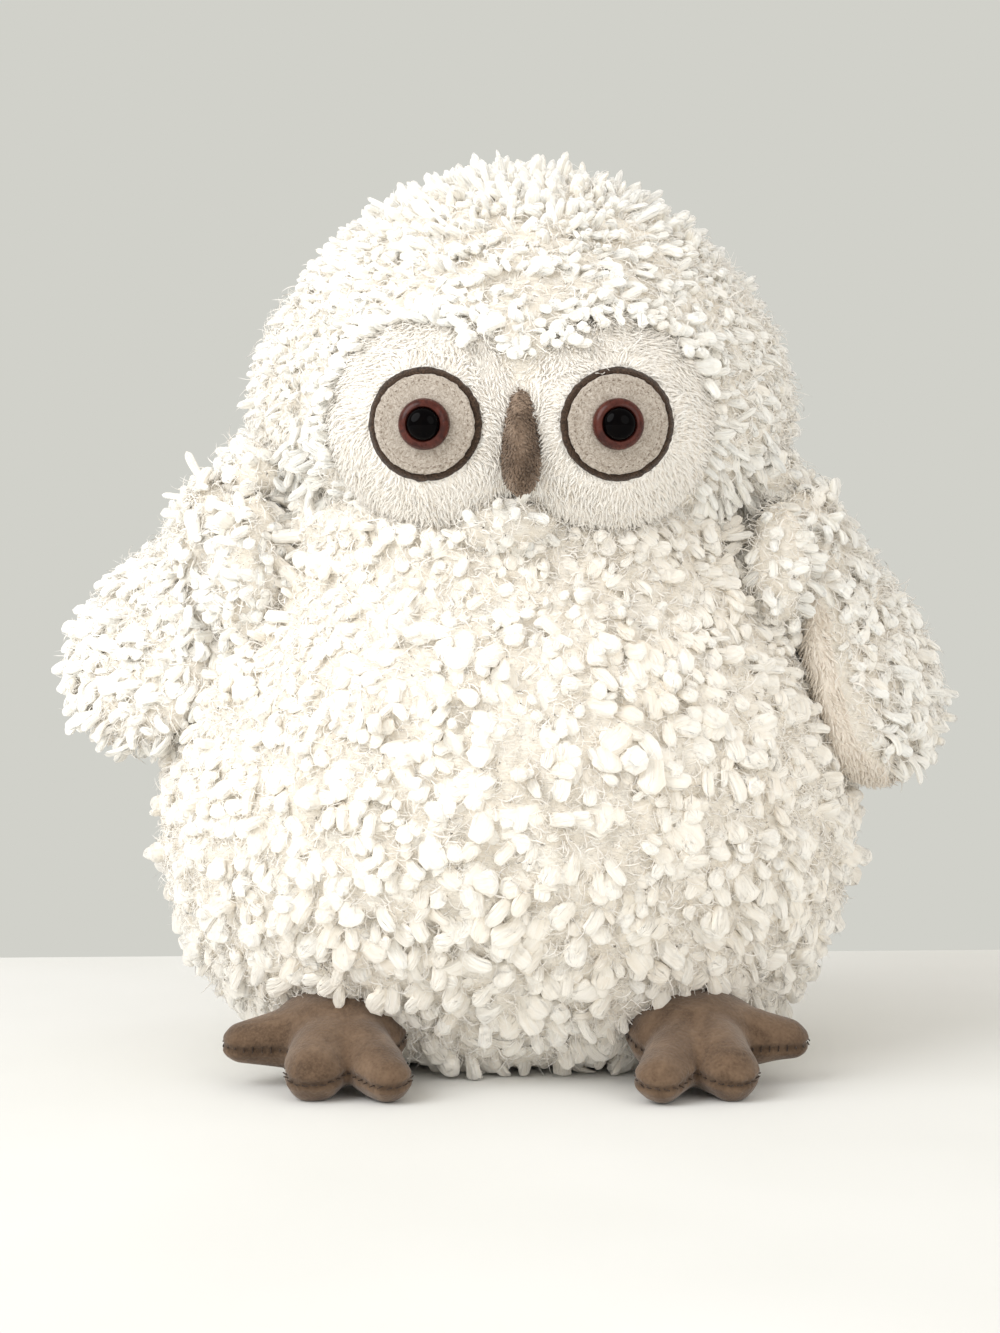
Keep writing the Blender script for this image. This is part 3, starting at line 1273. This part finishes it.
SEAM_GROOVE = 0.75
SEAM_SHOULDER = 2.0
SEAM_PUCKERS = 3.2
TABLE_GAP = 0.1
VOXEL_METRES = 0.0011
EASING_ROUNDS = 14


def foot_frame(name):
    side = SIDES[name]
    yaw, roll = turn("Z", side * FOOT_YAW[name]), turn("Y", -side * FOOT_ROLL)
    return yaw @ roll @ turn("X", FOOT_SLOPE), np.array([side * FOOT_X[name], FOOT_Y, FOOT_Z])


def ball_rows(middle, radii, segments=28, steps=16):
    rows = turned(ellipse((0, 0), (1, 1), -90, 90, steps), segments)
    return rows * np.array(radii) + np.array(middle)


def foot_form(name):
    """The palm and the three toes as balls that overlap, in the foot's frame."""
    balls = [ball_rows((0, 0, 0), PALM_RADII)]
    for angle, length, root, tip in TOES:
        way = turn("Z", 180 + SIDES[name] * angle) @ np.array([0, 1, 0])
        for share in np.linspace(0, 1, 15):
            radius = lerp(root, tip, share)
            balls.append(ball_rows(way * length * share, (radius, radius, radius)))
    points, quads, ends = [], [], []
    start = 0
    for rows in balls:
        found, (sides, *poles) = closed_form(rows)
        points.append(found)
        quads.append(sides + start)
        ends.append(np.concatenate(poles) + start)
        start += len(found)
    return np.concatenate(points), [np.concatenate(quads), np.concatenate(ends)]


def blended_foot(name):
    """The foot's skin, one mesh after its balls run together."""
    rough = mesh_piece(f"foot_{name}_rough", *foot_form(name), SUEDE)
    remesh = rough.modifiers.new("whole", "REMESH")
    remesh.mode = "VOXEL"
    remesh.voxel_size = VOXEL_METRES
    ease = rough.modifiers.new("ease", "SMOOTH")
    ease.factor, ease.iterations = 0.5, EASING_ROUNDS
    graph = bpy.context.evaluated_depsgraph_get()
    mesh = bpy.data.meshes.new_from_object(rough.evaluated_get(graph))
    bpy.data.objects.remove(rough)
    return mesh


def seam_path(mesh):
    """The longest line where a mesh crosses the level of its own frame, in millimetres."""
    cut = bmesh.new()
    cut.from_mesh(mesh)
    found = bmesh.ops.bisect_plane(cut, geom=cut.verts[:] + cut.edges[:] + cut.faces[:],
                                   plane_co=(0, 0, 0), plane_no=(0, 0, 1))
    edges = dict.fromkeys(e for e in found["geom_cut"] if isinstance(e, bmesh.types.BMEdge))
    paths = []
    while edges:
        edge, _ = edges.popitem()
        start, at = edge.verts
        path = [start.co.copy(), at.co.copy()]
        while at is not start:
            following = next((e for e in at.link_edges if e in edges), None)
            if following is None:
                break
            del edges[following]
            at = following.other_vert(at)
            path.append(at.co.copy())
        paths.append(np.array(path) * 1000)
    cut.free()
    return max(paths, key=len)


def stitches(name, body, slot, path, outward, pitch, length, thick, material):
    """Short stitches along a line, each a little bent, lying on the cloth."""
    lengths = lengths_along(path)
    places = np.arange(pitch / 2, lengths[-1], pitch)
    at, ahead = traced(places, lengths, path), traced(places + 0.5, lengths, path)
    out = unit(traced(places, lengths, outward))
    way = flowing(out, unit(ahead - at))
    count = len(at)
    seeded = np.random.default_rng(3)
    strewn = (at - way * length / 2, out, way, np.full(count, length), np.full(count, thick),
              np.full(count, 97.0), seeded.normal(0, 7, count))
    pile(name, body, slot, material, strewn, sides=6, kind="stitch", curl=0, ply=0, rise=(80, 86),
         draws=seeded)


# The stitches that hold each pale felt disc
FELT_SEAM_RADIUS = 12.7
for name, side in SIDES.items():
    around = np.linspace(0, 2 * np.pi, 160)
    flat = np.stack([np.cos(around), np.sin(around)], 1) * FELT_SEAM_RADIUS
    line = eye_places(side, flat, disc_height(side, flat, FELT + 2 * CLEARANCE) + FELT + 0.02)
    out = np.repeat(eye_frame(side)[1][:, 2][None], len(line), 0)
    stitches(f"eye_{name}_stitches", "body", "grey_felt", line, out, 1.9, 0.85, 0.3, FELT_THREAD)


for name in SIDES:
    mesh = blended_foot(name)
    seam = seam_path(mesh)
    points = read_vectors(mesh.vertices, "co").astype(float) * 1000
    normal = read_vectors(mesh.vertices, "normal").astype(float)
    off_seam = np.abs(points[:, 2])
    groove = np.exp(-(points[:, 2] / SEAM_GROOVE) ** 2)
    shoulders = np.exp(-((off_seam - SEAM_SHOULDER) / 1.2) ** 2)
    points += normal * (shoulders * 0.25 - groove * 0.75)[:, None]
    off_seam = np.abs(points[:, 2])
    puckers = ridge_noise(points, 5.0, 41) * np.exp(-(off_seam / SEAM_PUCKERS) ** 2) * 0.22
    points += normal * (puckers + ridge_noise(points, 17, 42) * 0.35)[:, None]
    matrix, at = foot_frame(name)
    placed = points @ matrix.T + at
    placed[:, 2] = np.maximum(placed[:, 2], TABLE_GAP)
    mesh.vertices.foreach_set("co", (placed * 0.001).astype(np.float32).ravel())
    write_values(mesh, "crease", groove * 0.9)
    mesh.polygons.foreach_set("use_smooth", np.ones(len(mesh.polygons), bool))
    mesh.materials.clear()
    mesh.materials.append(SUEDE)
    mesh.update()
    foot = shown(f"foot_{name}_stuffed", mesh)
    finish_piece(foot, f"foot_{name}", "foot_suede", f"foot_upper_{name}", f"foot_sole_{name}",
                 f"foot_fill_{name}", fill=0.9)
    outward = unit((seam - seam.mean(0)) * [1, 1, 0]) @ matrix.T
    stitches(f"foot_{name}_seam", f"foot_{name}", "foot_suede", seam @ matrix.T + at, outward,
             2.7, 2.1, 0.5, THREAD)

# Table, backdrop, light and camera. The table's back edge slants a little, as in the photo

TABLE_BACK = 207
TABLE_SLANT = 0.053
TABLE_HALF = 1600
TABLE_THICKNESS = 30
TABLE_EDGE = 4


def table_look():
    look = Look("table_top", 0.75, specular=0.25)
    soft = look.noise(6, 2.0, 0.5)
    colour = look.mix(look.span(soft, 0.35, 0.65), (225, 225, 222), (230, 230, 228))
    return look.finish(colour, bumps=((look.noise(420, 3.0, 0.6), 0.08, 0.4),))


rounding = ellipse((TABLE_BACK - TABLE_EDGE, -TABLE_EDGE), (TABLE_EDGE, TABLE_EDGE), 0, 90, 6)
profile = [(-TABLE_HALF, -TABLE_THICKNESS), (TABLE_BACK - TABLE_EDGE, -TABLE_THICKNESS),
           (TABLE_BACK, -TABLE_THICKNESS + TABLE_EDGE), *rounding, (-TABLE_HALF, 0)]
table_points = np.array([(x, y + TABLE_SLANT * x, z)
                         for x in (-TABLE_HALF, TABLE_HALF) for y, z in profile])
per = len(profile)
ring = np.arange(per)
after = (ring + 1) % per
table_faces = [np.stack([ring, after, after + per, ring + per], 1), ring[None],
               (ring + per)[::-1][None]]
table_top = mesh_piece("table_top", table_points, table_faces, table_look())
table_top.data.polygons.foreach_set("use_smooth", np.zeros(len(table_top.data.polygons), bool))

# The camera and shiny surfaces see the wall, all else the studio's light
WALL_COLOUR = (209, 209, 202)
LIGHT_COLOUR = (1.0, 0.972, 0.915, 1.0)
LIGHT_STRENGTH = 0.87
world = bpy.data.worlds.new("studio")
bpy.context.scene.world = world
world.use_nodes = True
world.node_tree.nodes.clear()
studio = Nodes(world.node_tree)
rays = studio.add("ShaderNodeLightPath").outputs
shiny = studio.add("ShaderNodeMath", rays["Is Glossy Ray"], rays["Is Transmission Ray"],
                   operation="MAXIMUM")
seen = studio.add("ShaderNodeMath", rays["Is Camera Ray"], shiny.outputs[0], operation="MAXIMUM")
wall = studio.add("ShaderNodeBackground", WALL_COLOUR, 1.0)
light = studio.add("ShaderNodeBackground", LIGHT_COLOUR, LIGHT_STRENGTH)
either = studio.add("ShaderNodeMixShader", seen.outputs[0], light.outputs[0], wall.outputs[0])
studio.add("ShaderNodeOutputWorld", either.outputs[0])


def lamp(name, at, aim, size, watts, colour):
    data = bpy.data.lights.new(name, "AREA")
    data.shape = "DISK"
    data.size, data.energy, data.color = size, watts, colour
    ahead = unit(np.array(aim, float) - np.array(at, float))
    right = unit(np.cross(ahead, [0, 0, 1]))
    up = np.cross(right, ahead)
    turned_to = Matrix(np.stack([right, up, -ahead], 1).tolist()).to_4x4()
    shown(name, data).matrix_world = Matrix.Translation(at) @ turned_to


lamp("key", at=(-1.2, -0.9, 1.1), aim=(0, 0, 0.15), size=1.5, watts=23.5,
     colour=(0.97, 0.985, 1.0))
lamp("fill", at=(0.9, -1.3, 0.7), aim=(0, 0, 0.14), size=1.2, watts=4.5, colour=(1.0, 0.99, 0.98))

# The photo's focal length and width in pixels give the lens for a sensor's width in millimetres
FOCAL_PIXELS = 2480
PHOTO_PIXELS = 1333
SENSOR_WIDTH = 36
CAMERA_AT = (-0.0023, -0.8, 0.15)
CAMERA_DIP = 1.9

camera_data = bpy.data.cameras.new("camera")
camera_data.sensor_width = SENSOR_WIDTH
camera_data.lens = SENSOR_WIDTH * FOCAL_PIXELS / PHOTO_PIXELS
camera = shown("camera", camera_data)
camera.location = CAMERA_AT
camera.rotation_euler = (math.radians(90 - CAMERA_DIP), 0, 0)
bpy.context.scene.camera = camera
bpy.context.scene.view_settings.view_transform = "Standard"
